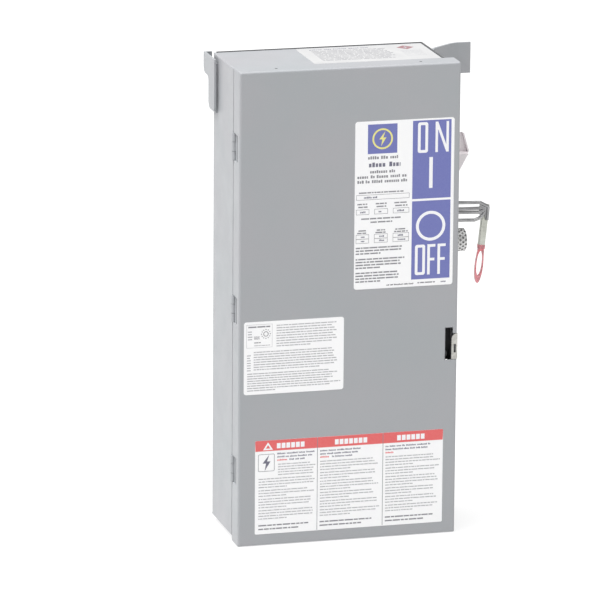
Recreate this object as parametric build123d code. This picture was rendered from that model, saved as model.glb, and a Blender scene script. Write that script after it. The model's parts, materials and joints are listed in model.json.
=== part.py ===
from build123d import *
import os

# Fusible plug-on disconnect for busway, 100 A size, three poles.
# Millimetres. +X right, +Y to the rear, +Z up.
# The origin is the centre of the seating plane at the case's back.

# ---- driving dimensions ----
SHEET = 1.6
CASE_W = 249.6
DOOR_W = 261.3
DOOR_H = 560.0
DEPTH = 120.6
BOTTOM_STEP = 6.8          # the door hangs this far below the case
FLANGE = 27.0              # depth of the door's return flange
JOGGLE = 5.0               # how far the case's lip steps in behind the door
TOP_SINK = 0.9             # the top plate lies this far below the wrapper's standing edges
LIP_FRONT = 8.0            # the lip stops this far behind the door's front
RETURN_W = 12.2            # inward return of the lip
HINGE_PITCH = 190.5
HINGE_MID_Z = -1.5
HINGE_NOTCH_H = 32.0
HINGE_OFFSET = 1.0         # hinge pin's centre inside the case's side face
KNUCKLE_R = 3.0
PIN_R = 1.5
RUN_CLEAR = 0.05
POLE_PITCH = 52.0
POLE_MID_X = -10.0
HANDLE_Y, HANDLE_Z = -60.6, 90.0
SHAFT_R = 8.0
CROSSBAR_Y, CROSSBAR_Z = -40.0, 70.0
BLADE_LEN = 68.0
BLADE_OPEN = 50.0          # blades lean forward by this angle when off
KNOB_Y, KNOB_Z = -60.6, 56.0

# ---- places worked out from them ----
LEFT, RIGHT = -CASE_W / 2, CASE_W / 2
DOOR_L, DOOR_R = LEFT, LEFT + DOOR_W
TOP, DOOR_BOTTOM = DOOR_H / 2, -DOOR_H / 2
BOTTOM = DOOR_BOTTOM + BOTTOM_STEP
FRONT = -DEPTH
DOOR_BACK = FRONT + FLANGE
WALL_FRONT = DOOR_BACK + 1.8
LIP_Y = FRONT + LIP_FRONT
CASE_TOP = TOP - TOP_SINK
WRAP_LOW, WRAP_HIGH = BOTTOM + SHEET, CASE_TOP - SHEET
LIP_TOP = TOP - JOGGLE
LIP_LEFT = LEFT + JOGGLE
HINGE_X, HINGE_Y = LEFT + HINGE_OFFSET, DOOR_BACK + 0.2
HINGE_SEAT_Y = HINGE_Y + KNUCKLE_R + 0.6
HINGES = [HINGE_MID_Z + i * HINGE_PITCH for i in (-1, 0, 1)]
POLES = [POLE_MID_X + i * POLE_PITCH for i in (-1, 0, 1)]

parts = {}


def block(x, y, z):
    """A box from (low, high) pairs."""
    size = [b - a for a, b in (x, y, z)]
    mid = [(a + b) / 2 for a, b in (x, y, z)]
    return Pos(*mid) * Box(*size)


def rod(axis, radius, span, u, v):
    """A cylinder along an axis over a span, with its other two coordinates u and v in X, Y, Z order."""
    low, high = span
    turn = {"X": Rot(0, 90, 0), "Y": Rot(90, 0, 0), "Z": Rot(0, 0, 0)}[axis]
    mid = (low + high) / 2
    place = {"X": (mid, u, v), "Y": (u, mid, v), "Z": (u, v, mid)}[axis]
    return Pos(*place) * turn * Cylinder(radius, high - low)


def union(shapes):
    whole = shapes[0]
    for shape in shapes[1:]:
        whole = whole + shape
    return whole


def cut(shape, tools):
    for tool in tools:
        shape = shape - tool
    return shape


def group(shapes):
    return Compound(children=list(shapes))


def edges_near(shape, direction, **at):
    """The edges along a direction whose middle has the given x, y or z."""
    found = []
    for edge in shape.edges().filter_by(direction):
        middle = edge.center()
        values = {"x": middle.X, "y": middle.Y, "z": middle.Z}
        if all(abs(values[k] - v) < 0.01 for k, v in at.items()):
            found.append(edge)
    return found


def strip_xy(points, radius, thickness, z):
    """A bent strip whose section lies in the XY plane."""
    face = trace(FilletPolyline(*points, radius=radius), thickness)
    return Pos(0, 0, z[0]) * extrude(face, z[1] - z[0])


def pan_head_screw(axis, sign, u, v, face, head_r=4.2, head_h=2.2, shank_r=2.0, shank=6.0):
    """A slotted pan head screw. Its head stands off the face along sign, its shank the other way."""
    head = rod(axis, head_r, sorted((face, face + sign * head_h)), u, v)
    crown = face + sign * head_h
    head = fillet(head.edges().filter_by(GeomType.CIRCLE).sort_by(
        {"X": Axis.X, "Y": Axis.Y, "Z": Axis.Z}[axis])[-1 if sign > 0 else 0], head_h * 0.45)
    shaft = rod(axis, shank_r, sorted((face, face - sign * shank)), u, v)
    slot_span = sorted((crown, crown - sign * 0.9))
    wide, narrow = (-head_r, head_r), (-0.5, 0.5)
    spans = {
        "X": (slot_span, [u + n for n in narrow], [v + w for w in wide]),
        "Y": ([u + n for n in narrow], slot_span, [v + w for w in wide]),
        "Z": ([u + n for n in narrow], [v + w for w in wide], slot_span),
    }[axis]
    return head + shaft - block(*spans)


# ---- case: wrapped sheet with end plates ----

def rivet_places():
    """(y, z) of the rivets through the left side, and through the right side."""
    left = [(-13.0, 224.0), (-13.0, 259.0)]
    right = [(-50.0, 247.0), (-50.0, 260.0), (-52.0, 198.0), (-52.0, 118.0), (-103.0, -68.0),
             (-103.0, -94.0)]
    return left, right


JAW_X, JAW_Z = (-84.0, 104.0), (150.0, 214.0)
GROOVE = 0.9               # gap between the top plate and the wrapper's standing edges
LAP = 3.0                  # the top plate laps the wrapper this far in from its left rear corner


def case_wrapper():
    z, lip_z = (WRAP_LOW, WRAP_HIGH), (WRAP_LOW, LIP_TOP - SHEET)
    left_in = LIP_LEFT + SHEET
    body = union([
        block((LEFT, RIGHT), (-SHEET, 0), z),
        block((LEFT, LEFT + SHEET), (WALL_FRONT, 0), z),
        block((RIGHT - SHEET, RIGHT), (LIP_Y, 0), z),
        block((LEFT, left_in), (WALL_FRONT, WALL_FRONT + SHEET), lip_z),
        block((LIP_LEFT, left_in), (LIP_Y, WALL_FRONT + SHEET), lip_z),
        block((LIP_LEFT, LIP_LEFT + RETURN_W), (LIP_Y, LIP_Y + SHEET), lip_z),
        block((RIGHT - RETURN_W, RIGHT), (LIP_Y, LIP_Y + SHEET), lip_z),
        block((LEFT + LAP, RIGHT), (-SHEET, 0), (WRAP_HIGH, TOP)),
        block((RIGHT - SHEET, RIGHT), (WALL_FRONT, 0), (WRAP_HIGH, TOP)),
    ])
    rear = edges_near(body, Axis.Z, x=LEFT, y=0) + edges_near(body, Axis.Z, x=RIGHT, y=0)
    body = fillet(rear, 2.2)
    front = edges_near(body, Axis.Z, x=RIGHT, y=LIP_Y) + edges_near(body, Axis.Z, x=LIP_LEFT, y=LIP_Y)
    body = fillet(front, 1.4)
    left, right = rivet_places()
    half = HINGE_NOTCH_H / 2 + 1
    tools = [block(JAW_X, (-SHEET - 1, 1), JAW_Z)]
    for z0 in HINGES:
        tools.append(block((LIP_LEFT - 1, left_in + 0.01), (LIP_Y + 3, HINGE_Y - 9), (z0 - half, z0 + half)))
        tools.append(block((LEFT - 1, LIP_LEFT - 0.4), (WALL_FRONT - 1, HINGE_SEAT_Y),
                           (z0 - half + 1, z0 + half - 1)))
    tools += [rod("X", 2.0, (LEFT - 1, LEFT + SHEET + 1), y, z0) for y, z0 in left]
    tools += [rod("X", 2.0, (RIGHT - SHEET - 1, RIGHT + 1), y, z0) for y, z0 in right]
    tools += [rod("X", 11.0, (RIGHT - SHEET - 1, RIGHT + 1), HANDLE_Y, HANDLE_Z)]
    tools += [rod("X", 6.0, (RIGHT - SHEET - 1, RIGHT + 1), KNOB_Y, KNOB_Z)]
    tools += [rod("X", 2.0, (RIGHT - SHEET - 1, RIGHT + 1), y, z0) for y, z0 in END_SCREWS]
    return cut(body, tools)


END_SCREWS = [(y, z) for z in (TOP - 8.0, BOTTOM + 8.0) for y in (-78.0, -18.0)]


def end_plate_flanges(low, high):
    """The end plate's flanges inside the rear panel and both sides."""
    rear = block((LEFT + 8, RIGHT - 8), (-2 * SHEET, -SHEET), (low, high))
    left = block((LEFT + SHEET, LEFT + 2 * SHEET), (-84, -8), (low, high))
    right = block((RIGHT - 2 * SHEET, RIGHT - SHEET), (-84, -8), (low, high))
    return [rear, left, cut(right, [rod("X", 2.0, (RIGHT - 8, RIGHT), y, z) for y, z in END_SCREWS])]


def top_end_plate():
    """The top plate laps the left side and lies inside the wrapper's standing edges at the rear and right."""
    plate = block((LEFT, RIGHT - SHEET - GROOVE), (WALL_FRONT, 0), (WRAP_HIGH, CASE_TOP))
    plate = cut(plate, [block((LEFT + LAP - GROOVE, RIGHT), (-SHEET - GROOVE, 1), (WRAP_HIGH - 1, TOP))])
    plate = fillet(edges_near(plate, Axis.Y, x=LEFT, z=CASE_TOP), 1.2)
    lip_x = (LIP_LEFT, RIGHT - SHEET)
    step = block(lip_x, (WALL_FRONT, WALL_FRONT + SHEET), (LIP_TOP - SHEET, WRAP_HIGH))
    lip = block(lip_x, (LIP_Y, WALL_FRONT + SHEET), (LIP_TOP - SHEET, LIP_TOP))
    inner_x = (LIP_LEFT + RETURN_W + 0.3, RIGHT - RETURN_W - 0.3)
    turned = block(inner_x, (LIP_Y, LIP_Y + SHEET), (LIP_TOP - RETURN_W, LIP_TOP))
    # the lip stands on the wrapper's left lip, and stops at its right side
    return union([plate, step, lip, turned] + end_plate_flanges(TOP - 14.0, WRAP_HIGH))


KNOCKOUTS = [(-64.0, -56.0, 22.0), (64.0, -56.0, 22.0), (0.0, -56.0, 14.3)]


def bottom_end_plate():
    plate = block((LEFT, RIGHT), (LIP_Y, 0), (BOTTOM, WRAP_LOW))
    plate = cut(plate, [block((LEFT - 1, LIP_LEFT), (LIP_Y - 1, WALL_FRONT), (BOTTOM - 1, WRAP_LOW + 1))])
    inner_x = (LIP_LEFT + RETURN_W + 0.3, RIGHT - RETURN_W - 0.3)
    turned = block(inner_x, (LIP_Y, LIP_Y + SHEET), (WRAP_LOW, BOTTOM + RETURN_W))
    body = union([plate, turned] + end_plate_flanges(WRAP_LOW, BOTTOM + 14.0))
    return cut(body, [rod("Z", r, (BOTTOM - 1, WRAP_LOW + 1), x, y) for x, y, r in KNOCKOUTS])


def knockout_disc(x, y, r):
    """A punched disc held by two small bridges."""
    disc = rod("Z", r - 0.35, (BOTTOM, WRAP_LOW), x, y)
    bridges = block((x - r, x + r), (y - 1.5, y + 1.5), (BOTTOM + 0.3, WRAP_LOW - 0.3))
    return disc + (bridges & rod("Z", r, (BOTTOM, WRAP_LOW), x, y))


parts["case_wrapper"] = case_wrapper()
parts["top_end_plate"] = top_end_plate()
parts["bottom_end_plate"] = bottom_end_plate()
parts["knockout_discs"] = group(knockout_disc(*k) for k in KNOCKOUTS)
parts["end_plate_screws"] = group(pan_head_screw("X", 1, y, z, RIGHT) for y, z in END_SCREWS)


# ---- busway brackets ----

HOOK_OUT, HOOK_T = LEFT - 5.0, 2.4
HOOK_IN = HOOK_OUT + HOOK_T
HOOK_PAD_Y, HOOK_PAD_Z = (-19.5, -5.0), (212.0, 270.0)


def hook_bracket():
    """A plate on a pad on the left side, with a lobe that turns in behind the seating plane."""
    outline = [(-22.6, 214), (4.4, 214), (4.4, 251), (27.4, 251), (27.4, 275), (-22.6, 275)]
    face = make_face(Polyline(*outline, close=True))
    for (a, b), r in {(4.4, 214): 9.0, (-22.6, 214): 5.0, (27.4, 251): 9.0, (4.4, 251): 6.0}.items():
        spot = [v for v in face.vertices() if abs(v.X - a) < 0.01 and abs(v.Y - b) < 0.01]
        face = fillet(spot, r)
    plate = Pos(HOOK_OUT, 0, 0) * extrude(Plane.YZ * face, HOOK_T)
    turned = block((HOOK_OUT, HOOK_OUT + 9.5), (27.4 - HOOK_T, 27.4), (260.0, 275.0))
    body = union([plate, turned, block((HOOK_IN, LEFT), HOOK_PAD_Y, HOOK_PAD_Z)])
    left, _ = rivet_places()
    return cut(body, [rod("X", 2.0, (HOOK_OUT - 1, LEFT + 1), y, z) for y, z in left]
               + [rod("X", 4.0, (HOOK_OUT - 1, HOOK_OUT + 1.0), y, z) for y, z in left])


EAR_T, EAR_BEND = 3.0, 24.0


def ear_bracket():
    """A strap riveted to the right side, flaring out and back to an ear in the seating plane."""
    mid = EAR_T / 2
    path = [(RIGHT + mid, -58.0), (RIGHT + mid, -30.0), (RIGHT + 37.0, -mid), (RIGHT + 58.4, -mid)]
    body = strip_xy(path, EAR_BEND, EAR_T, (241.0, 277.5))
    _, right = rivet_places()
    return cut(body, [rod("X", 2.0, (RIGHT - 1, RIGHT + EAR_T + 1), y, z) for y, z in right[:2]])


HASP_X, HASP_Z, HASP_R = RIGHT + 19.0, 148.0, 4.8
HOOD_LOW, SHELF_TOP, HOOD_HIGH = 127.0, 160.4, 183.0
HOOD_FRONT, HOOD_BACK, HOOD_FOOT = -72.0, -56.0, -44.0
HOOD_EDGE = 5.0            # depth of the flange along the back plate's slanting edge


def upright_plate(points, y):
    """A flat plate whose outline lies in the XZ plane."""
    face = make_face(Polyline(*points, close=True))
    return Pos(0, y[1], 0) * extrude(Plane.XZ * face, y[1] - y[0])


def on_stop_bracket():
    """A folded hood beside the handle's on place, with a padlock hole in its front plate."""
    t = SHEET
    tip, front_tip, top = (RIGHT + 41.1, SHELF_TOP), (RIGHT + 36.7, SHELF_TOP), (RIGHT + 34.5, HOOD_HIGH)
    back = upright_plate([(RIGHT, SHELF_TOP), tip, top, (RIGHT, HOOD_HIGH)], (HOOD_BACK, HOOD_BACK + t))
    edge = upright_plate([tip, top, (top[0] - t, top[1]), (tip[0] - t, tip[1])],
                         (HOOD_BACK - HOOD_EDGE, HOOD_BACK + t))
    front = upright_plate([(RIGHT, SHELF_TOP), front_tip, (RIGHT + 18.3, HOOD_LOW), (RIGHT, HOOD_LOW)],
                          (HOOD_FRONT, HOOD_FRONT + t))
    plan = [(RIGHT, HOOD_FRONT), (front_tip[0], HOOD_FRONT), (tip[0], HOOD_BACK), (tip[0], HOOD_BACK + t),
            (RIGHT, HOOD_BACK + t)]
    shelf = Pos(0, 0, SHELF_TOP - t) * extrude(make_face(Polyline(*plan, close=True)), t)
    wall = [block((RIGHT, RIGHT + t), (HOOD_FRONT, HOOD_FOOT), (HOOD_LOW, HOOD_HIGH)),
            block((RIGHT, RIGHT + t), (-60.0, HOOD_FOOT), (110.0, 206.0))]
    _, right = rivet_places()
    holes = [rod("X", 2.0, (RIGHT - 1, RIGHT + 4), y, z) for y, z in right[2:4]]
    hasp_hole = rod("Y", HASP_R, (HOOD_FRONT - 1, HOOD_FRONT + t + 1), HASP_X, HASP_Z)
    return cut(union([back, edge, front, shelf] + wall), holes + [hasp_hole])


def latch_strike():
    """An angle on the right side, behind the door's slot, with a window for the latch's arm."""
    foot = block((RIGHT, RIGHT + SHEET), (-107.0, -96.8), (-100.0, -28.0))
    wing = block((RIGHT, RIGHT + 9.8), (-98.6, -97.0), (-100.0, -28.0))
    window = block((RIGHT - 1, RIGHT + 7.0), (-99.0, -96.5), (-91.0, -76.4))
    _, right = rivet_places()
    return cut(foot + wing, [window] + [rod("X", 2.0, (RIGHT - 1, RIGHT + 3), y, z) for y, z in right[4:]])


def rivets():
    left, right = rivet_places()
    solids = []
    for y, z in left:
        solids.append(union([
            rod("X", 4.0, (HOOK_OUT, HOOK_OUT + 1.0), y, z),
            rod("X", 2.0, (HOOK_OUT, LEFT + SHEET), y, z),
            rod("X", 4.0, (LEFT + SHEET, LEFT + SHEET + 1.4), y, z),
        ]))
    for i, (y, z) in enumerate(right):
        outer = RIGHT + (EAR_T if i < 2 else SHEET)
        dome = rod("X", 4.0, (outer, outer + 1.8), y, z)
        dome = fillet(dome.edges().filter_by(GeomType.CIRCLE).sort_by(Axis.X)[-1], 1.2)
        solids.append(union([
            dome,
            rod("X", 2.0, (RIGHT - SHEET, outer), y, z),
            rod("X", 3.6, (RIGHT - SHEET - 1.2, RIGHT - SHEET), y, z),
        ]))
    return group(solids)


parts["hook_bracket"] = hook_bracket()
parts["ear_bracket"] = ear_bracket()
parts["on_stop_bracket"] = on_stop_bracket()
parts["latch_strike"] = latch_strike()
parts["bracket_rivets"] = rivets()


# ---- hinges ----

def knuckle_spans(z0):
    """Z spans at one hinge: lower and upper case knuckle, and the door's knuckle between them."""
    half = HINGE_NOTCH_H / 2 - 0.5
    inner = 5.3
    return (z0 - half, z0 - inner - 0.5), (z0 + inner + 0.5, z0 + half), (z0 - inner, z0 + inner)


def case_knuckle(span):
    barrel = rod("Z", KNUCKLE_R, span, HINGE_X, HINGE_Y)
    web = block((LEFT, LEFT + SHEET), (HINGE_Y, HINGE_SEAT_Y), span)
    return barrel + web - rod("Z", PIN_R, span, HINGE_X, HINGE_Y)


def hinge_case_knuckles():
    return group(case_knuckle(span) for z0 in HINGES for span in knuckle_spans(z0)[:2])


def hinge_pins():
    half = HINGE_NOTCH_H / 2 - 0.5
    return group(rod("Z", PIN_R, (z0 - half, z0 + half), HINGE_X, HINGE_Y) for z0 in HINGES)


def door_leaf(z0):
    """A leaf welded inside the door's flange, rolled round the pin."""
    inside = LEFT + SHEET
    leaf = block((inside, inside + SHEET), (FRONT + 17.0, HINGE_Y - 1.0), (z0 - 24, z0 + 24))
    span = knuckle_spans(z0)[2]
    gap = block((inside - 1, inside + 4), (HINGE_Y - KNUCKLE_R - 0.6, HINGE_Y + 4), (z0 - 24, span[0]))
    gap_high = block((inside - 1, inside + 4), (HINGE_Y - KNUCKLE_R - 0.6, HINGE_Y + 4), (span[1], z0 + 24))
    barrel = rod("Z", KNUCKLE_R, span, HINGE_X, HINGE_Y)
    return union([leaf - gap - gap_high, barrel]) - rod("Z", PIN_R + RUN_CLEAR, span, HINGE_X, HINGE_Y)


parts["hinge_case_knuckles"] = hinge_case_knuckles()
parts["hinge_pins"] = hinge_pins()
parts["hinge_door_leaves"] = group(door_leaf(z0) for z0 in HINGES)


# ---- door ----

LATCH_SLOT_X = (DOOR_L + 246.3, DOOR_L + 256.0)
LATCH_SLOT_Z = (-71.4, -32.7)
LATCH_EDGE_Z = (-71.4, -39.8)
HANG_HOLES_X, HANG_HOLE_R = (DOOR_L + 46.0, DOOR_L + 217.0), 1.7


def door_pan():
    outer = block((DOOR_L, DOOR_R), (FRONT, DOOR_BACK), (DOOR_BOTTOM, TOP))
    outer = fillet(outer.edges().filter_by(Axis.Y), 1.5)
    outer = fillet(outer.faces().sort_by(Axis.Y)[0].edges(), 2.6)
    inner = block((DOOR_L + SHEET, DOOR_R - SHEET), (FRONT + SHEET, DOOR_BACK + 1),
                  (DOOR_BOTTOM + SHEET, TOP - SHEET))
    inner = fillet(inner.faces().sort_by(Axis.Y)[0].edges(), 1.0)
    pan = outer - inner
    half = HINGE_NOTCH_H / 2
    tools = [block((DOOR_L - 1, DOOR_L + SHEET), (FRONT + 9.0, DOOR_BACK + 1), (z0 - half, z0 + half))
             for z0 in HINGES]
    tools.append(block(LATCH_SLOT_X, (FRONT - 1, FRONT + SHEET + 2), LATCH_SLOT_Z))
    tools.append(block((LATCH_SLOT_X[1] - 1, DOOR_R + 1), (FRONT - 1, FRONT + 4), LATCH_EDGE_Z))
    tools += [rod("Z", HANG_HOLE_R, (TOP - SHEET - 1, TOP + 1), x, FRONT + FLANGE / 2)
              for x in HANG_HOLES_X]
    return cut(pan, tools)


LABEL_T = 0.3


def label(x, z, radius):
    """A sticker on the door's front, placed from the door's left and bottom edges."""
    low_x, high_x = DOOR_L + x[0], DOOR_L + x[1]
    low_z, high_z = DOOR_BOTTOM + z[0], DOOR_BOTTOM + z[1]
    plate = block((low_x, high_x), (FRONT - LABEL_T, FRONT), (low_z, high_z))
    return fillet(plate.edges().filter_by(Axis.Y), radius)


def top_label():
    plate = block((LEFT + 96.0, LEFT + 246.6), (FRONT + 30.5, FRONT + 115.5),
                  (CASE_TOP, CASE_TOP + LABEL_T))
    return fillet(plate.edges().filter_by(Axis.Z), 2.0)


LATCH_T = 1.6
SLIDE_Y = (FRONT + SHEET + 0.6, FRONT + SHEET + 0.6 + LATCH_T)


def latch_slide():
    """The finger tab in the door's slot, its stem, the sliding plate behind the door and the latch arm."""
    tab_x, tab_z = (DOOR_L + 254.5, DOOR_R + 0.4), (-70.9, -40.4)
    tab = block(tab_x, (FRONT + 0.3, SLIDE_Y[0] + 0.1), tab_z)
    tab = fillet(edges_near(tab, Axis.Y, x=tab_x[0], z=tab_z[1]), 6.4)
    grip_slot = block((tab_x[0] + 2.7, tab_x[0] + 5.3), (FRONT, SLIDE_Y[1]), (-63.0, -52.9))
    stem_x = (tab_x[0], tab_x[0] + 4.5)
    stem = block(stem_x, SLIDE_Y, (-90.0, -65.0))
    plate = block((DOOR_L + 228.0, stem_x[1]), SLIDE_Y, (-90.0, -74.0))
    arm = block((RIGHT + 4.8, RIGHT + 6.4), (SLIDE_Y[0], -94.6), (-89.0, -78.2))
    return union([tab - grip_slot, stem, plate, arm])


def latch_guide():
    """Two rails with keeper lips, welded to the back of the door's front."""
    back = FRONT + SHEET
    x = (DOOR_L + 222.0, DOOR_L + 245.8)
    rails = []
    for low, high, lip in ((-94.0, -90.4, (-94.0, -87.0)), (-73.6, -70.2, (-77.0, -70.2))):
        rails.append(block(x, (back, SLIDE_Y[1] + 0.4), (low, high)))
        rails.append(block(x, (SLIDE_Y[1] + 0.4, SLIDE_Y[1] + 1.4), lip))
    end = block((x[0] - 1.2, x[0]), (back, SLIDE_Y[1] + 1.4), (-94.0, -70.2))
    return union(rails + [end])


def latch_spring():
    """A leaf spring between the guide's end and the slide."""
    x = DOOR_L + 222.0
    leaf = [(x + 0.4, -88.5), (x + 0.4, -82.0), (x + 5.2, -79.0), (x + 0.4, -76.0)]
    path = FilletPolyline(*leaf, radius=1.5)
    solid = extrude(trace(path, 0.5), LATCH_T)
    return Pos(0, SLIDE_Y[1], 0) * Rot(90, 0, 0) * solid


parts["door_pan"] = door_pan()
parts["rating_label"] = label((136.2, 254.3), (298.8, 496.0), 3.0)
parts["notice_label"] = label((6.2, 124.9), (181.6, 267.8), 3.0)
parts["safety_label"] = label((20.2, 245.6), (14.0, 126.0), 1.5)
parts["top_label"] = top_label()
parts["latch_slide"] = latch_slide()
parts["latch_guide"] = latch_guide()
parts["latch_spring"] = latch_spring()


# ---- handle ----

def shaft_bushing():
    flange = rod("X", 16.0, (RIGHT, RIGHT + 2.4), HANDLE_Y, HANDLE_Z)
    sleeve = rod("X", 11.0, (RIGHT - 8.0, RIGHT), HANDLE_Y, HANDLE_Z)
    nut = extrude(Plane.YZ * RegularPolygon(15.0, 6), 4.0)
    nut = Pos(RIGHT - SHEET - 4.0, HANDLE_Y, HANDLE_Z) * nut
    bore = rod("X", SHAFT_R + RUN_CLEAR, (RIGHT - 12, RIGHT + 5), HANDLE_Y, HANDLE_Z)
    return union([flange, sleeve, nut]) - bore


CRANK_X = (100.0, 106.0)


def handle_shaft():
    """The shaft through the side, with a crank on its inner end."""
    shaft = rod("X", SHAFT_R, (CRANK_X[0], RIGHT + 12.0), HANDLE_Y, HANDLE_Z)
    web = block(CRANK_X, (HANDLE_Y - 5, HANDLE_Y + 5), (HANDLE_Z, HANDLE_Z + 16))
    tip = rod("X", 5.0, CRANK_X, HANDLE_Y, HANDLE_Z + 16)
    return union([shaft, web, tip])


def handle_hub():
    x = (RIGHT + 3.0, RIGHT + 13.5)
    hub = rod("X", 15.0, x, HANDLE_Y, HANDLE_Z)
    hub = fillet(hub.edges().filter_by(GeomType.CIRCLE).sort_by(Axis.X)[-1], 2.0)
    return cut(hub, [rod("X", SHAFT_R, (x[0] - 1, RIGHT + 12.0), HANDLE_Y, HANDLE_Z)])


HUB_FACE = RIGHT + 13.5
LEVER_X = RIGHT + 61.7
LEVER_TILT = 6.0           # the lever leans in towards the case
BAR_W, BAR_T = 7.8, 6.0
EYE_LONG, EYE_WIDE = 21.2, 4.8          # half length and half width of the eye
HOLE_LONG, HOLE_WIDE = 14.8, 3.5        # and of the hole in it
EYE_MID, HOLE_MID, EYE_T = -66.3, -63.8, 2.6
SHOULDER, SHOULDER_MEET = 3.2, 5.0      # half width under the bar; height over the eye's middle where it ends
BAR_END, HEAD_TOP, BAR_ROUND = -46.0, 6.5, 1.0
COAT, COLLAR = 0.35, 4.5
ROD_R, ROD_BEND = 2.0, 2.6
ROD_Y = HANDLE_Y - BAR_T / 2 - ROD_R + 0.3


def yoke_rod(points):
    path = FilletPolyline(*[(x, ROD_Y, z) for x, z in points], radius=ROD_BEND)
    section = Plane(origin=path @ 0, z_dir=path % 0) * Circle(ROD_R)
    return sweep(section, path)


def handle_yoke():
    """Four formed rods and a gusset across the lever's head. The top rod turns down its outer edge."""
    start, end = HUB_FACE - 1.0, LEVER_X
    runs = [
        [(start, 101.9), (end - 8.0, 100.2), (end + 2.0, 94.7), (end + 0.6, 78.9)],
        [(start, 94.0), (end - 9.0, 93.3), (end - 2.5, 94.4)],
        [(start, 90.1), (end - 9.0, 88.6), (end - 3.2, 90.8)],
        [(start, 81.0), (end - 15.0, 79.5), (end - 9.4, 81.2), (end - 5.0, 84.7), (end - 2.4, 89.0)],
    ]
    outline = [(end - 8.0, 98.5), (end + 2.0, 94.7), (end + 0.6, 79.4), (end - 1.4, 80.0), (end - 2.2, 86.5),
               (end - 5.0, 83.5), (end - 9.0, 86.0)]
    gusset = upright_plate(outline, (ROD_Y - 0.4, HANDLE_Y - BAR_T / 2))
    return union([yoke_rod(run) for run in runs] + [gusset])


def on_lever(shape):
    """Places a shape drawn at the axis, hanging along -Z, on the leaning lever."""
    return Pos(LEVER_X, HANDLE_Y, HANDLE_Z) * Rot(0, LEVER_TILT, 0) * shape


def oval(wide, long, thickness, z):
    """An elliptical slab."""
    return Pos(0, 0, z) * extrude(Plane.XZ * Ellipse(wide, long), thickness / 2, both=True)


def eye_hole(coat):
    return oval(HOLE_WIDE + coat, HOLE_LONG + coat, 3 * EYE_T, HOLE_MID)


def eye_slab(coat):
    """The eye without its hole: an ellipse whose sides run up to the end of the bar."""
    thickness = EYE_T + 2 * coat
    side, waist = (EYE_WIDE - COAT + coat) * 0.97, SHOULDER + coat
    meet = EYE_MID + SHOULDER_MEET
    shoulder = upright_plate([(-side, meet), (side, meet), (waist, BAR_END), (-waist, BAR_END)],
                             (-thickness / 2, thickness / 2))
    return oval(EYE_WIDE - COAT + coat, EYE_LONG - COAT + coat, thickness, EYE_MID) + shoulder


def bar_stock(coat, z):
    """The lever's bar over a span, with rounded edges and a bevelled lower end."""
    wide, deep = BAR_W / 2 + coat, BAR_T / 2 + coat
    bar = block((-wide, wide), (-deep, deep), z)
    bar = chamfer(edges_near(bar, Axis.Y, z=z[0]), BAR_W / 2 - SHOULDER)
    return fillet(bar.edges().filter_by(Axis.Z), BAR_ROUND + coat)


def lever_core():
    """A flat bar that thins into a long oval ring."""
    return bar_stock(0, (BAR_END, HEAD_TOP)) + (eye_slab(0) - eye_hole(COAT))


def lever_grip():
    """A dipped vinyl coat on the eye and the end of the bar."""
    coat = eye_slab(COAT) + bar_stock(COAT, (BAR_END - COAT, BAR_END + COLLAR))
    return coat - eye_hole(0) - lever_core()


lever = on_lever(lever_core())
yoke = handle_yoke()
parts["shaft_bushing"] = shaft_bushing()
parts["handle_shaft"] = handle_shaft()
parts["handle_hub"] = handle_hub()
parts["handle_yoke"] = yoke - lever - parts["handle_hub"]
parts["handle_lever"] = lever
parts["lever_grip"] = on_lever(lever_grip())


# ---- interlock release knob ----

KNOB_X, KNOB_R = (RIGHT + 22.0, RIGHT + 36.6), 13.5
DIMPLE_R, DIMPLES, DIMPLE_STEP = 1.4, 16, 3.4


def release_knob():
    """A thick knob with staggered rows of dimples, on a stem with a hook inside the case."""
    disc = rod("X", KNOB_R, KNOB_X, 0, 0)
    disc = fillet(disc.edges().filter_by(GeomType.CIRCLE), 1.8)
    dimples = []
    for row in range(4):
        x = KNOB_X[0] + 2.6 + row * DIMPLE_STEP
        for i in range(DIMPLES):
            turn = 360.0 / DIMPLES * (i + row / 2)
            dimples.append(Rot(turn, 0, 0) * Pos(x, 0, KNOB_R) * Cylinder(DIMPLE_R, 2.2))
    disc = Pos(0, KNOB_Y, KNOB_Z) * cut(disc, dimples)
    stem = rod("X", 4.0, (RIGHT - 16.0, KNOB_X[0]), KNOB_Y, KNOB_Z)
    hook = block((RIGHT - 16.0, RIGHT - 12.0), (KNOB_Y - 14.0, KNOB_Y), (KNOB_Z - 4.0, KNOB_Z + 4.0))
    return union([disc, stem, hook])


def knob_bushing():
    flange = rod("X", 9.0, (RIGHT, RIGHT + 2.0), KNOB_Y, KNOB_Z)
    sleeve = rod("X", 6.0, (RIGHT - 6.0, RIGHT), KNOB_Y, KNOB_Z)
    inner = rod("X", 8.0, (RIGHT - SHEET - 2.5, RIGHT - SHEET), KNOB_Y, KNOB_Z)
    bore = rod("X", 4.0 + RUN_CLEAR, (RIGHT - 8, RIGHT + 3), KNOB_Y, KNOB_Z)
    return union([flange, sleeve, inner]) - bore


parts["release_knob"] = release_knob()
parts["knob_bushing"] = knob_bushing()


# ---- switch: base, jaws, contacts, crossbar and blades ----

BASE_X = (POLES[0] - 27.0, POLES[2] + 27.0)
BASE_Y = (-14.0, -SHEET)
CONTACT_Z = CROSSBAR_Z + BLADE_LEN - 9.0
JAW_BACK = 26.0
JAW_FRONT = BASE_Y[0] + 2.4
FUSE_MID_Z = -60.0
FUSE_LONG = 117.5
FUSE_CLIP_TOP = FUSE_MID_Z + FUSE_LONG / 2 + 18.0


BASE_SCREWS = [(x, z) for x in (POLES[0] + 26.0, POLES[1] + 26.0) for z in (222.0, 36.0, 19.0, -193.0)]
BASE_SCREW_LEN = 8.0


def base_screw_holes(low, high):
    return [rod("Y", 2.0, (BASE_Y[0] - 1, BASE_Y[0] + BASE_SCREW_LEN), x, z)
            for x, z in BASE_SCREWS if low < z < high]


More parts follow.
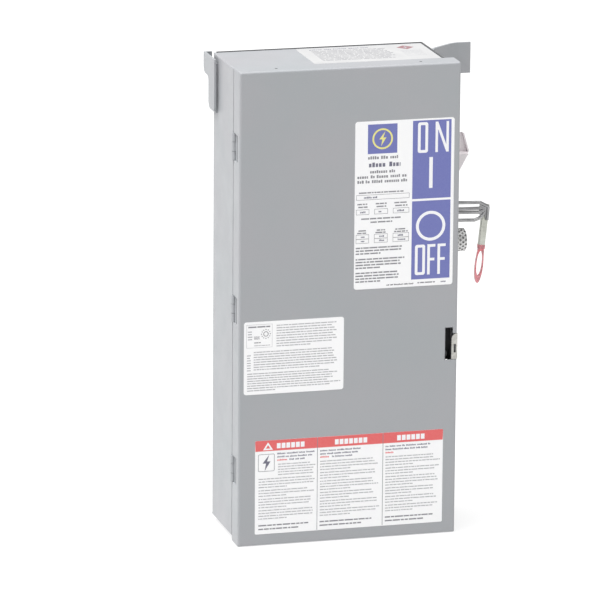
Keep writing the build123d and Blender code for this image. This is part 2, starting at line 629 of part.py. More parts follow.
def switch_base():
    base = block(BASE_X, BASE_Y, (28.0, 232.0))
    pockets = [block((x - 9, x + 9), (BASE_Y[0] - 1, BASE_Y[0] + 3), (205.0, 222.0)) for x in POLES]
    window = block((JAW_X[0] + 4, BASE_X[1] - 1), (BASE_Y[1] - 3.0, BASE_Y[1] + 1), (152.0, 212.0))
    recess = [block((x - 8, x + 8), (BASE_Y[0] - 1, BASE_Y[1] + 1), (156.0, 208.0)) for x in POLES]
    screws = base_screw_holes(28.0, 232.0)
    base = fillet(base.edges().filter_by(Axis.Z).sort_by(Axis.Y)[:2], 2.0)
    return cut(base, pockets + [window] + recess + screws)


def jaw_housing():
    """The insulating shroud through the rear panel, with one mouth for each bar."""
    x = (JAW_X[0] + 0.5, JAW_X[1] - 0.5)
    body = block(x, (-SHEET, JAW_BACK), (JAW_Z[0] + 0.5, JAW_Z[1] - 0.5))
    body = chamfer(body.faces().sort_by(Axis.Y)[-1].edges(), 4.0)
    body = fillet(body.edges().filter_by(Axis.Y), 3.0)
    mouths = [block((x0 - 8.5, x0 + 8.5), (-SHEET - 1, JAW_BACK + 1), (156.0, 208.0)) for x0 in POLES]
    ground = block((GROUND_X - 8.5, GROUND_X + 8.5), (-SHEET - 1, JAW_BACK + 1), (156.0, 208.0))
    grooves = [block((x0 - 1.5, x0 + 1.5), (JAW_BACK - 6, JAW_BACK + 1), (149.0, 215.0))
               for x0 in (POLES[0] + 26, POLES[1] + 26)]
    return cut(body, mouths + [ground] + grooves)


GROUND_X = 84.0
BAR_GAP = 6.4


def jaw(x0):
    """A pair of spring fingers that grip a bar 6.35 mm thick, joined at the front."""
    t = 2.4
    front = JAW_FRONT
    half = BAR_GAP / 2
    fingers = []
    for s in (-1, 1):
        inner = x0 + s * half
        outer = inner + s * t
        finger = block(sorted((inner, outer)), (front, JAW_BACK - 3.0), (160.0, 204.0))
        flare = block(sorted((inner + s, outer + s)), (JAW_BACK - 3.0, JAW_BACK), (160.0, 204.0))
        slots = [block(sorted((inner - s, outer + s * 2)), (4.0, JAW_BACK + 1), (z - 1, z + 1))
                 for z in (174.7, 189.3)]
        fingers.append(cut(finger + flare, slots))
    web = block((x0 - half - t, x0 + half + t), (front - t, front), (160.0, 204.0))
    return union(fingers + [web])


def ground_jaw():
    """The same jaw, with a strap down to a foot on the rear panel."""
    strap = block((GROUND_X - 4, GROUND_X + 4), (JAW_FRONT - 2.4, JAW_FRONT), (136.0, 161.0))
    foot = block((GROUND_X - 4, GROUND_X + 4), (JAW_FRONT - 2.4, -SHEET), (136.0, 138.4))
    pad = block((GROUND_X - 4, GROUND_X + 4), (-SHEET - 2.4, -SHEET), (130.0, 138.4))
    return union([jaw(GROUND_X), strap, foot, pad])


def line_contact(x0):
    """A stationary knife contact on the base, with a strap to the jaw."""
    t = 2.0
    foot = block((x0 - 8, x0 + 8), (BASE_Y[0] - t, BASE_Y[0]), (CONTACT_Z - 6, 204.0))
    sides = [block(sorted((x0 + s * 1.9, x0 + s * (1.9 + t))), (CROSSBAR_Y - 8, BASE_Y[0] - t),
                   (CONTACT_Z - 6, CONTACT_Z + 10)) for s in (-1, 1)]
    bolt = extrude(Plane.XZ * RegularPolygon(5.0, 6), 3.0)
    bolt = Pos(x0, BASE_Y[0] - t, 150.0) * bolt
    return union([foot] + sides + [bolt])


CHUTE_Z = (CONTACT_Z - 2.0, CONTACT_Z + 40.0)
CHUTE_Y = (-78.0, BASE_Y[0] - 3.0)
CHUTE_HALF, CHUTE_SIDE = 22.0, 2.5
ARC_PLATES, ARC_PLATE_PITCH, ARC_PLATE_T = 6, 8.0, 1.4


def arc_chute(x0):
    """A frame of two side boards and a roof, round the contact."""
    inner = CHUTE_HALF - CHUTE_SIDE
    sides = [block(sorted((x0 + s * inner, x0 + s * CHUTE_HALF)), (CHUTE_Y[0], BASE_Y[0]), CHUTE_Z)
             for s in (-1, 1)]
    roof = block((x0 - CHUTE_HALF, x0 + CHUTE_HALF), CHUTE_Y, (CHUTE_Z[1], CHUTE_Z[1] + CHUTE_SIDE))
    return union(sides + [roof])


def arc_plates(x0):
    """The chute's steel plates, each with a throat that the blade passes through."""
    inner = CHUTE_HALF - CHUTE_SIDE
    plates = []
    for i in range(ARC_PLATES):
        y0 = CHUTE_Y[0] + 4.0 + i * ARC_PLATE_PITCH
        plate = block((x0 - inner, x0 + inner), (y0, y0 + ARC_PLATE_T), (CHUTE_Z[0] + 3, CHUTE_Z[1]))
        throat = block((x0 - 6.5, x0 + 6.5), (y0 - 1, y0 + 3), (CHUTE_Z[0], CHUTE_Z[1] - 14.0))
        plates.append(plate - throat)
    return plates


def load_contact(x0):
    """The hinge-end contact under the crossbar, with a strap down to the fuse clip."""
    t = 2.0
    strap = block((x0 - 8, x0 + 8), (BASE_Y[0] - t, BASE_Y[0]), (FUSE_CLIP_TOP, 52.0))
    sides = [block(sorted((x0 + s * 1.9, x0 + s * (1.9 + t))), (CROSSBAR_Y - 6, BASE_Y[0] - t),
                   (36.0, 52.0)) for s in (-1, 1)]
    return union([strap] + sides)


CROSSBAR_X = (BASE_X[0] - 14.0, 98.0)


def crossbar():
    """An insulating square bar between two journals, with a crank at the mechanism's end."""
    bar = block((BASE_X[0] - 5, 84.0), (-10, 10), (-10, 10))
    bar = fillet(bar.edges().filter_by(Axis.X), 3.0)
    journal = rod("X", 6.0, CROSSBAR_X, 0, 0)
    crank = block((90.5, 95.0), (-4, 4), (0, 16)) + rod("X", 4.0, (90.5, 95.0), 0, 16)
    slots = [block((x - 1.5, x + 1.5), (-8, 8), (-11, 11)) for x in POLES]
    body = cut(union([bar, journal, crank]), slots)
    return Pos(0, CROSSBAR_Y, CROSSBAR_Z) * Rot(BLADE_OPEN, 0, 0) * body


def blade(x0):
    """A copper knife blade clamped in the crossbar, with a tail into the load contact."""
    face = block((x0 - 1.5, x0 + 1.5), (-8, 8), (-10, BLADE_LEN))
    face = chamfer(edges_near(face, Axis.X, z=BLADE_LEN), 4.0)
    face = face + block((x0 - 1.5, x0 + 1.5), (-6, 6), (-24, -9))
    return Pos(0, CROSSBAR_Y, CROSSBAR_Z) * Rot(BLADE_OPEN, 0, 0) * face


def bearing_plate(x):
    """A steel plate on the base that carries one journal."""
    plate = block(x, (CROSSBAR_Y - 14, -SHEET), (CROSSBAR_Z - 18, CROSSBAR_Z + 18))
    plate = fillet(edges_near(plate, Axis.X, y=CROSSBAR_Y - 14), 8.0)
    plate = plate + block((x[0], x[0] + 9.0), (-SHEET - 2.5, -SHEET), (CROSSBAR_Z - 18, CROSSBAR_Z + 18))
    return plate - rod("X", 6.0 + RUN_CLEAR, (x[0] - 1, x[1] + 1), CROSSBAR_Y, CROSSBAR_Z)


def mechanism_frame():
    """A steel channel beside the base for the crossbar's journal and the handle shaft's end."""
    x, y, z = (86.0, 107.0), (-86.0, -SHEET), (44.0, 128.0)
    inner = block((x[0], x[0] + 2.5), y, z)
    foot = block(x, (y[1] - 2.5, y[1]), z)
    bridge = block(x, y, (z[0], z[0] + 2.5))
    body = union([inner, foot, bridge])
    return cut(body, [rod("X", 6.0 + RUN_CLEAR, (x[0] - 1, x[0] + 4), CROSSBAR_Y, CROSSBAR_Z),
                      block((x[0] - 1, x[0] + 4), (-74.0, -58.0), (60.0, 72.0))])


parts["switch_base"] = switch_base()
parts["jaw_housing"] = jaw_housing()
for number, pole_x in enumerate(POLES, 1):
    parts[f"line_jaw_{number}"] = jaw(pole_x)
    parts[f"line_contact_{number}"] = line_contact(pole_x)
    parts[f"arc_chute_{number}"] = arc_chute(pole_x)
parts["arc_plates"] = group(plate for x in POLES for plate in arc_plates(x))
parts["ground_jaw"] = ground_jaw()
parts["load_contacts"] = group(load_contact(x) for x in POLES)
parts["crossbar"] = crossbar()
parts["switch_blades"] = group(blade(x) for x in POLES)
parts["crossbar_bearing"] = bearing_plate((CROSSBAR_X[0] + 2.0, CROSSBAR_X[0] + 5.0))
parts["mechanism_frame"] = mechanism_frame()


# ---- fuses, lugs and ground ----

FUSE_R = 14.3
FUSE_Y = -40.0
FUSE_BODY = 72.0
FUSE_BLADE_W = 19.0


def fuse_base():
    base = block(BASE_X, BASE_Y, (-198.0, 26.0))
    base = fillet(base.edges().filter_by(Axis.Z).sort_by(Axis.Y)[:2], 2.0)
    return cut(base, base_screw_holes(-198.0, 26.0))


def fuse_body(x0):
    tube = rod("Z", FUSE_R - 0.6, (FUSE_MID_Z - FUSE_BODY / 2, FUSE_MID_Z + FUSE_BODY / 2), x0, FUSE_Y)
    return tube


def fuse_cap(x0, side):
    """A brass ferrule with its knife blade."""
    inner, outer = FUSE_MID_Z + side * (FUSE_BODY / 2 - 11.0), FUSE_MID_Z + side * (FUSE_BODY / 2 + 1.6)
    shell = rod("Z", FUSE_R, sorted((inner, outer)), x0, FUSE_Y)
    shell = shell - rod("Z", FUSE_R - 0.6, sorted((inner, outer - side * 1.6)), x0, FUSE_Y)
    tip = FUSE_MID_Z + side * FUSE_LONG / 2
    knife_y = (FUSE_Y - FUSE_BLADE_W / 2, FUSE_Y + FUSE_BLADE_W / 2)
    knife = block((x0 - 1.6, x0 + 1.6), knife_y, sorted((outer, tip)))
    return shell + knife


def fuse_clip(x0, side):
    """A spring clip on the base that grips one fuse blade."""
    t = 1.6
    near, far = FUSE_MID_Z + side * (FUSE_BODY / 2 + 5.0), FUSE_MID_Z + side * (FUSE_LONG / 2 + 2.0)
    z = sorted((near, far))
    foot_z = sorted((near, far + side * 16.0))
    foot = block((x0 - 8, x0 + 8), (BASE_Y[0] - 2.0, BASE_Y[0]), foot_z)
    sides = [block(sorted((x0 + s * 1.6, x0 + s * (1.6 + t))), (FUSE_Y - 13, BASE_Y[0] - 2.0), z)
             for s in (-1, 1)]
    springs = [block(sorted((x0 + s * (1.6 + t), x0 + s * (2.4 + t))), (FUSE_Y - 8, BASE_Y[0] - 4.0),
                     (z[0] + 3, z[1] - 3)) for s in (-1, 1)]
    return union([foot] + sides + springs)


LUG_Z = (-186.0, -158.0)
LUG_Y = (-38.0, BASE_Y[0])


def load_lug(x0):
    lug = block((x0 - 10, x0 + 10), LUG_Y, LUG_Z)
    lug = chamfer(lug.edges().filter_by(Axis.Z), 1.2)
    wire = rod("Z", 6.0, (LUG_Z[0] - 1, LUG_Z[1] + 1), x0, -25.0)
    thread = rod("Y", 4.0, (LUG_Y[0] - 1, -25.0), x0, sum(LUG_Z) / 2)
    strap_z = (LUG_Z[1], FUSE_MID_Z - FUSE_LONG / 2 - 18.0)
    strap = block((x0 - 8, x0 + 8), (BASE_Y[0] - 2.0, BASE_Y[0]), strap_z)
    return cut(lug, [wire, thread]) + strap


def lug_screw(x0):
    """A hex socket set screw."""
    z = sum(LUG_Z) / 2
    screw = rod("Y", 4.0, (LUG_Y[0] - 4.0, -31.5), x0, z)
    socket = extrude(Plane.XZ * RegularPolygon(2.5, 6), 4.0)
    return screw - Pos(x0, LUG_Y[0], z) * socket


def phase_barrier(x):
    return block((x - 1.0, x + 1.0), (-62.0, BASE_Y[0]), (-188.0, 13.0))


GROUND_BAR_X, GROUND_BAR_Z = (88.0, 100.0), (-250.0, -170.0)


def ground_bar():
    bar = block(GROUND_BAR_X, (-16.0, -6.0), GROUND_BAR_Z)
    feet = [block(GROUND_BAR_X, (-6.0, -SHEET), (z - 5, z + 5)) for z in (-242.0, -178.0)]
    holes = [rod("X", 3.0, (GROUND_BAR_X[0] - 1, GROUND_BAR_X[1] + 1), -11.0, z) for z in GROUND_TAPS]
    taps = [rod("Y", 2.5, (-17.0, -11.0), sum(GROUND_BAR_X) / 2, z) for z in GROUND_TAPS]
    return cut(union([bar] + feet), holes + taps)


GROUND_TAPS = [-232.0 + i * 15.0 for i in range(4)]
MID_BAR_X = sum(GROUND_BAR_X) / 2


def ground_screw(z):
    return pan_head_screw("Y", -1, MID_BAR_X, z, -17.2, head_r=3.8, head_h=2.0, shank_r=2.5, shank=3.2)


parts["fuse_base"] = fuse_base()
for number, pole_x in enumerate(POLES, 1):
    parts[f"fuse_body_{number}"] = fuse_body(pole_x)
parts["fuse_caps"] = group(fuse_cap(x, s) for x in POLES for s in (-1, 1))
parts["upper_fuse_clips"] = group(fuse_clip(x, 1) for x in POLES)
parts["lower_fuse_clips"] = group(fuse_clip(x, -1) for x in POLES)
parts["load_lugs"] = group(load_lug(x) for x in POLES)
parts["lug_screws"] = group(lug_screw(x) for x in POLES)
parts["phase_barriers"] = group(phase_barrier(x + 26.0) for x in POLES[:2])
parts["ground_bar"] = ground_bar()
parts["ground_screws"] = group(ground_screw(z) for z in GROUND_TAPS)
parts["base_screws"] = group(
    pan_head_screw("Y", -1, x, z, BASE_Y[0], head_r=3.6, shank=BASE_SCREW_LEN) for x, z in BASE_SCREWS)

os.makedirs("parts", exist_ok=True)
for name, shape in parts.items():
    export_step(shape, f"parts/{name}.step")
print(len(parts), "nodes")
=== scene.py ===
import json
import math
import random

import bmesh
import bpy
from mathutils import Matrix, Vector


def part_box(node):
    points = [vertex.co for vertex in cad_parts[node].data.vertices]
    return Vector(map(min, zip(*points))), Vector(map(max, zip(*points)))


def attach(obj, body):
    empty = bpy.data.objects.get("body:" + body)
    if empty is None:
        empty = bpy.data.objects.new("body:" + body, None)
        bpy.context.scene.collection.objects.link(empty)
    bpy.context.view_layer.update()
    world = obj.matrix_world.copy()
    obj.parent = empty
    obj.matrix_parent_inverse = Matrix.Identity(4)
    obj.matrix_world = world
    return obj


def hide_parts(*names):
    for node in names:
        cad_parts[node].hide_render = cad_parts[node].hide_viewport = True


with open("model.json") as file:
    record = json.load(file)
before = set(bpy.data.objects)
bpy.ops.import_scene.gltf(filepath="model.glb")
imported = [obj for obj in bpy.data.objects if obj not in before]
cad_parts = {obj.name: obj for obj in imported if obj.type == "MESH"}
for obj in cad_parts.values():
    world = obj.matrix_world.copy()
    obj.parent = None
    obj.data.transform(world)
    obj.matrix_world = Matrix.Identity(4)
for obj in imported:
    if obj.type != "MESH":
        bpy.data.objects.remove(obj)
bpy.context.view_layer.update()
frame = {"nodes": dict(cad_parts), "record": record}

# Metres, in the row frame: +X right, +Y to the rear, +Z up. Labels are laid out in millimetres.
MM = 0.001
MICRON = 0.000001
nodes = frame["nodes"]


# ---- material helpers ----

class Finish:
    """A Principled material, with textures that are fixed in the object, in metres."""

    def __init__(self, name, metallic=0.0, **sockets):
        self.material = bpy.data.materials.new(name)
        self.material.use_nodes = True
        self.tree = self.material.node_tree
        self.shader = self.tree.nodes["Principled BSDF"]
        self.place = self.add("ShaderNodeTexCoord").outputs["Object"]
        self.height = None
        self.shader.inputs["Metallic"].default_value = metallic
        for socket, value in sockets.items():
            self.shader.inputs[socket.replace("_", " ")].default_value = value

    def add(self, kind, **settings):
        node = self.tree.nodes.new(kind)
        for key, value in settings.items():
            setattr(node, key, value)
        return node

    def link(self, output, socket):
        self.tree.links.new(output, socket)

    def feed(self, value, socket):
        """Sets a socket to a constant, or links an output to it."""
        if isinstance(value, (float, tuple)):
            socket.default_value = value
        else:
            self.link(value, socket)

    def stretched(self, x, y, z):
        """The object's coordinates, scaled along each axis."""
        node = self.add("ShaderNodeMapping")
        node.inputs["Scale"].default_value = (x, y, z)
        self.link(self.place, node.inputs["Vector"])
        return node.outputs["Vector"]

    def noise(self, scale, detail=2.0, roughness=0.5, place=None, distortion=0.0):
        node = self.add("ShaderNodeTexNoise")
        node.inputs["Scale"].default_value = scale
        node.inputs["Detail"].default_value = detail
        node.inputs["Roughness"].default_value = roughness
        node.inputs["Distortion"].default_value = distortion
        self.link(place or self.place, node.inputs["Vector"])
        return node.outputs["Fac"]

    def cells(self, scale, place=None):
        node = self.add("ShaderNodeTexVoronoi")
        node.inputs["Scale"].default_value = scale
        self.link(place or self.place, node.inputs["Vector"])
        return node.outputs["Color"]

    def remap(self, value, low, high, start=0.3, end=0.7):
        node = self.add("ShaderNodeMapRange")
        node.inputs["From Min"].default_value = start
        node.inputs["From Max"].default_value = end
        node.inputs["To Min"].default_value = low
        node.inputs["To Max"].default_value = high
        self.link(value, node.inputs["Value"])
        return node.outputs["Result"]

    def mixed(self, factor, first, second, blend="MIX"):
        """A colour made of two, which are colours or outputs."""
        node = self.add("ShaderNodeMix", data_type="RGBA", blend_type=blend)
        self.feed(factor, node.inputs["Factor"])
        sockets = [s for s in node.inputs if s.type == "RGBA"]
        for socket, value in zip(sockets, (first, second)):
            self.feed(value, socket)
        return [o for o in node.outputs if o.type == "RGBA"][0]

    def math(self, operation, first, second):
        node = self.add("ShaderNodeMath", operation=operation)
        for socket, value in zip(node.inputs, (first, second)):
            self.feed(value, socket)
        return node.outputs["Value"]

    def place_and_facing(self):
        """The point and the surface's normal in the object, each split into X, Y and Z."""
        place, facing = self.add("ShaderNodeSeparateXYZ"), self.add("ShaderNodeSeparateXYZ")
        self.link(self.place, place.inputs["Vector"])
        self.link(self.add("ShaderNodeTexCoord").outputs["Normal"], facing.inputs["Vector"])
        return place.outputs, facing.outputs

    def standing_edge(self, height):
        """1 above a height on faces that do not look right or back, 0 elsewhere."""
        place, facing = self.place_and_facing()
        outward = self.math("MAXIMUM", facing["X"], facing["Y"])
        inner = self.math("LESS_THAN", outward, 0.5)
        return self.math("MULTIPLY", inner, self.math("GREATER_THAN", place["Z"], height))

    def color(self, output):
        self.link(output, self.shader.inputs["Base Color"])

    def rough(self, output):
        self.link(output, self.shader.inputs["Roughness"])

    def bump(self, height, depth, strength=1.0):
        """Adds relief of a depth in metres. A second call adds to the first."""
        node = self.add("ShaderNodeBump")
        node.inputs["Strength"].default_value = strength
        node.inputs["Distance"].default_value = depth
        self.link(height, node.inputs["Height"])
        if self.height is not None:
            self.link(self.height, node.inputs["Normal"])
        self.height = node.outputs["Normal"]
        self.link(self.height, self.shader.inputs["Normal"])


def enamel(name="grey_enamel", painted_shade_above=None):
    """Baked grey enamel: faint cloudiness, orange peel, and a few rubbed places.

    With a height, the sheet's standing edges above it get painted shade: their inner side is darkened,
    standing in for the shadow in the narrow gap by the top plate."""
    f = Finish(name, IOR=1.5, Coat_Weight=0.15, Coat_Roughness=0.25)
    cloud = f.remap(f.noise(11.0, 4.0), 0.0, 1.0)
    speck = f.remap(f.noise(1900.0, 2.0), 0.0, 1.0)
    base = f.mixed(cloud, (0.372, 0.392, 0.408, 1.0), (0.394, 0.395, 0.414, 1.0))
    shade = f.mixed(speck, (0.95, 0.95, 0.95, 1.0), (1.03, 1.03, 1.03, 1.0))
    speckled = f.mixed(1.0, base, shade, "MULTIPLY")
    rub = f.remap(f.noise(26.0, 6.0, 0.7, f.stretched(1.0, 1.0, 3.5)), 0.0, 0.35, 0.66, 0.74)
    coat = f.mixed(rub, speckled, (0.44, 0.44, 0.45, 1.0))
    if painted_shade_above is not None:
        # painted shade: a dark colour on the standing edges' inner faces above the height
        coat = f.mixed(f.standing_edge(painted_shade_above), coat, (0.15, 0.15, 0.155, 1.0))
    f.color(coat)
    f.rough(f.remap(f.noise(34.0, 5.0, 0.6), 0.36, 0.50))
    f.bump(f.noise(520.0, 2.0, 0.45), 40 * MICRON, 0.5)
    f.bump(f.noise(3400.0, 1.0), 10 * MICRON, 0.35)
    return f.material


def zinc(name, light, dark, spangle=160.0, low=0.28, high=0.48, metallic=1.0):
    """Zinc plate: a soft spangle, faint drawing lines and uneven gloss."""
    f = Finish(name, metallic=metallic)
    grain = f.noise(55.0, 5.0, 0.6, f.stretched(1.0, 1.0, 9.0))
    cell = f.add("ShaderNodeSeparateColor")
    f.link(f.cells(spangle), cell.inputs["Color"])
    both = f.math("ADD", f.math("MULTIPLY", cell.outputs["Red"], 0.35), grain)
    f.color(f.mixed(f.remap(both, 0.0, 1.0, 0.4, 0.95), dark, light))
    f.rough(f.remap(grain, low, high))
    f.bump(f.noise(900.0, 3.0, 0.6), 20 * MICRON, 0.4)
    return f.material


def casting(node):
    """Tumbled zinc casting, with painted shade in the dimples that are cut in from the rim of a round knob.
    """
    f = Finish("tumbled_casting", metallic=0.45)
    low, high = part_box(node)
    origin = nodes[node].matrix_world.translation
    rim = (high.z - low.z) / 2
    axis = (high.y - rim - origin.y, (high.z + low.z) / 2 - origin.z)
    place, facing = f.place_and_facing()
    across, up = (f.math("SUBTRACT", place[name], value) for name, value in zip("YZ", axis))
    squares = f.math("ADD", f.math("MULTIPLY", across, across), f.math("MULTIPLY", up, up))
    radius = f.math("POWER", squares, 0.5)
    sunk = f.math("LESS_THAN", radius, rim - 400 * MICRON)
    radial = f.math("LESS_THAN", f.math("ABSOLUTE", facing["X"], 0.0), 0.5)
    cloud = f.mixed(f.remap(f.noise(260.0, 4.0, 0.6), 0.0, 1.0),
                    (0.88, 0.88, 0.87, 1.0), (0.60, 0.60, 0.595, 1.0))
    # painted shade: the dimples' floors and side walls are darkened, unevenly
    dimple_shade = f.math("MULTIPLY", f.math("MULTIPLY", sunk, radial), f.remap(f.noise(380.0, 2.0), 0.45, 0.85))
    f.color(f.mixed(dimple_shade, cloud, (0.14, 0.14, 0.14, 1.0)))
    f.rough(f.remap(f.noise(300.0, 2.0), 0.36, 0.55))
    f.bump(f.noise(700.0, 3.0, 0.6), 80 * MICRON, 0.5)
    return f.material


def plain_metal(name, light, dark, low, high, stretch=(1.0, 1.0, 12.0)):
    """A drawn or rolled metal, with streaks along Z by default and a light tarnish."""
    f = Finish(name, metallic=1.0)
    streak = f.noise(120.0, 4.0, 0.6, f.stretched(*stretch))
    tarnish = f.noise(60.0, 5.0, 0.65)
    f.color(f.mixed(f.remap(tarnish, 0.0, 1.0), light, dark))
    f.rough(f.remap(streak, low, high))
    f.bump(streak, 30 * MICRON, 0.35)
    return f.material


def moulding(name, color, other, low=0.45, high=0.65, grain=1400.0):
    """Moulded thermoset or fibre board: fine grain, flow marks and a dull surface."""
    f = Finish(name, IOR=1.52)
    flow = f.noise(30.0, 5.0, 0.6, distortion=0.6)
    f.color(f.mixed(f.remap(flow, 0.0, 1.0), color, other))
    f.rough(f.remap(f.noise(180.0, 3.0), low, high))
    f.bump(f.noise(grain, 2.0), 30 * MICRON, 0.4)
    return f.material


def vinyl():
    """Dipped red vinyl: soft gloss, slightly uneven thickness, paler where it is thin."""
    f = Finish("red_vinyl", IOR=1.5, Coat_Weight=0.35, Coat_Roughness=0.12, Subsurface_Weight=0.08)
    f.shader.inputs["Subsurface Radius"].default_value = (0.004, 0.001, 0.001)
    thick = f.noise(90.0, 3.0, 0.5)
    coat = f.mixed(f.remap(thick, 0.0, 1.0), (0.82, 0.16, 0.19, 1.0), (0.92, 0.36, 0.40, 1.0))
    # darker brownish patches, at random
    brown_patches = f.remap(f.noise(150.0, 4.0, 0.6), 0.0, 0.65, 0.51, 0.66)
    f.color(f.mixed(brown_patches, coat, (0.26, 0.17, 0.18, 1.0)))
    f.rough(f.remap(f.noise(300.0, 3.0), 0.28, 0.42))
    f.bump(thick, 200 * MICRON, 0.5)
    return f.material


def label_stock(name, first, second):
    """Polyester label stock: satin, with a fibre-fine tooth and faint clouding."""
    f = Finish(name, IOR=1.48, Coat_Weight=0.1, Coat_Roughness=0.3)
    f.color(f.mixed(f.remap(f.noise(40.0, 4.0), 0.0, 1.0), first, second))
    f.rough(f.remap(f.noise(420.0, 3.0), 0.38, 0.52))
    f.bump(f.noise(2600.0, 2.0), 10 * MICRON, 0.3)
    return f.material


def ink(name, color, spread=0.06):
    """Screen printed ink, a little uneven."""
    f = Finish(name, IOR=1.48, Coat_Weight=0.08, Coat_Roughness=0.3)
    thin = tuple(min(1.0, c + spread * (1 - c)) for c in color[:3]) + (1.0,)
    f.color(f.mixed(f.remap(f.noise(700.0, 3.0, 0.7), 0.0, 1.0), color, thin))
    f.rough(f.remap(f.noise(500.0, 2.0), 0.36, 0.5))
    return f.material


SLOTS = {
    "paint": enamel(),
    "zinc": zinc("zinc_plate", (0.80, 0.80, 0.77, 1.0), (0.60, 0.61, 0.60, 1.0)),
    "dark_rod": plain_metal("phosphated_rod", (0.52, 0.52, 0.525, 1.0), (0.33, 0.33, 0.335, 1.0), 0.42, 0.6,
                            (12.0, 1.0, 1.0)),
    "red_vinyl": vinyl(),
    "label_stock": label_stock("label_stock", (0.95, 0.95, 0.962, 1.0), (0.968, 0.968, 0.97, 1.0)),
    "moulding": moulding("black_thermoset", (0.030, 0.030, 0.033, 1.0), (0.050, 0.050, 0.053, 1.0)),
    "arc_frame": moulding("vulcanised_fibre", (0.46, 0.38, 0.26, 1.0), (0.56, 0.48, 0.35, 1.0),
                          0.5, 0.7, 700.0),
    "arc_steel": zinc("dichromate_steel", (0.78, 0.70, 0.46, 1.0), (0.55, 0.52, 0.42, 1.0), 220.0),
    "barrier": moulding("barrier_board", (0.060, 0.060, 0.064, 1.0), (0.095, 0.095, 0.10, 1.0),
                        0.55, 0.75, 600.0),
    "copper": plain_metal("copper", (0.86, 0.50, 0.33, 1.0), (0.62, 0.32, 0.20, 1.0), 0.22, 0.42),
    "tinned": plain_metal("tinned_copper", (0.82, 0.82, 0.80, 1.0), (0.66, 0.66, 0.65, 1.0), 0.28, 0.42),
    "fuse_tube": moulding("fuse_tube", (0.72, 0.66, 0.52, 1.0), (0.78, 0.73, 0.60, 1.0), 0.32, 0.48, 900.0),
    "brass": plain_metal("brass", (0.86, 0.70, 0.36, 1.0), (0.66, 0.50, 0.24, 1.0), 0.2, 0.38,
                         (1.0, 1.0, 4.0)),
    "aluminium": plain_metal("tinned_aluminium", (0.84, 0.84, 0.85, 1.0), (0.70, 0.70, 0.72, 1.0), 0.3, 0.45),
}

slot_of = {part["node"]: part["material_slot"] for part in frame["record"]["subparts"]}
for name, node in nodes.items():
    node.data.materials.clear()
    node.data.materials.append(SLOTS[slot_of[name]])

# plated parts that differ from the common zinc
PLATED = {
    "handle_lever": zinc("lever_zinc", (0.70, 0.71, 0.65, 1.0), (0.50, 0.51, 0.46, 1.0), 240.0, 0.44, 0.6),
    "on_stop_bracket": zinc("hood_zinc", (0.90, 0.855, 0.87, 1.0), (0.82, 0.775, 0.79, 1.0),
                            130.0, 0.46, 0.6, metallic=0.2),
    # painted shade: the strike is near black, so the hollow seen through the latch slot reads dark
    "latch_strike": plain_metal("strike_painted_shade", (0.12, 0.12, 0.125, 1.0), (0.07, 0.07, 0.075, 1.0),
                                0.5, 0.68),
    "latch_slide": zinc("latch_zinc", (0.62, 0.61, 0.58, 1.0), (0.42, 0.415, 0.39, 1.0), 260.0, 0.24, 0.40),
    "release_knob": casting("release_knob"),
}
for name, material in PLATED.items():
    nodes[name].data.materials[0] = material

# the wrapper's edges that stand above the top plate, with painted shade on their inner side
wrapper = nodes["case_wrapper"]
plate_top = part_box("top_end_plate")[1].z - wrapper.matrix_world.translation.z
wrapper.data.materials[0] = enamel("grey_enamel_painted_edge_shade", plate_top + 100 * MICRON)


# ---- labels: a sheet with rounded corners and print on it, all closed thin solids ----

STOCK_TOP = 0.20           # mm above the enamel; the CAD label is 0.3 thick
INK_TOP = 0.25
OVERPRINT_TOP = 0.29

INKS = {
    "blue": ink("ink_blue", (0.150, 0.170, 0.460, 1.0), 0.03),
    "red": ink("ink_red", (0.77, 0.118, 0.118, 1.0), 0.04),
    "white": ink("ink_white", (0.92, 0.92, 0.94, 1.0)),
    "black": ink("ink_black", (0.045, 0.045, 0.055, 1.0)),
    "grey": ink("ink_grey", (0.23, 0.23, 0.25, 1.0)),
    "pale": ink("ink_pale_grey", (0.42, 0.42, 0.44, 1.0)),
    "yellow": ink("ink_yellow", (0.84, 0.78, 0.24, 1.0)),
    "slate": ink("ink_slate", (0.13, 0.13, 0.19, 1.0)),
    "dusty_red": ink("ink_dusty_red", (0.29, 0.145, 0.16, 1.0)),
}


def rectangle(left, right, low, high):
    return [(left, low), (right, low), (right, high), (left, high)]


def rounded(left, right, low, high, radius, steps=7):
    """A rectangle with round corners, anticlockwise."""
    corners = [(right - radius, low + radius, -90), (right - radius, high - radius, 0),
               (left + radius, high - radius, 90), (left + radius, low + radius, 180)]
    outline = []
    for u, v, start in corners:
        for i in range(steps + 1):
            angle = math.radians(start + 90 * i / steps)
            outline.append((u + radius * math.cos(angle), v + radius * math.sin(angle)))
    return outline


def circle(u, v, radius, steps=56):
    return [(u + radius * math.cos(2 * math.pi * i / steps), v + radius * math.sin(2 * math.pi * i / steps))
            for i in range(steps)]


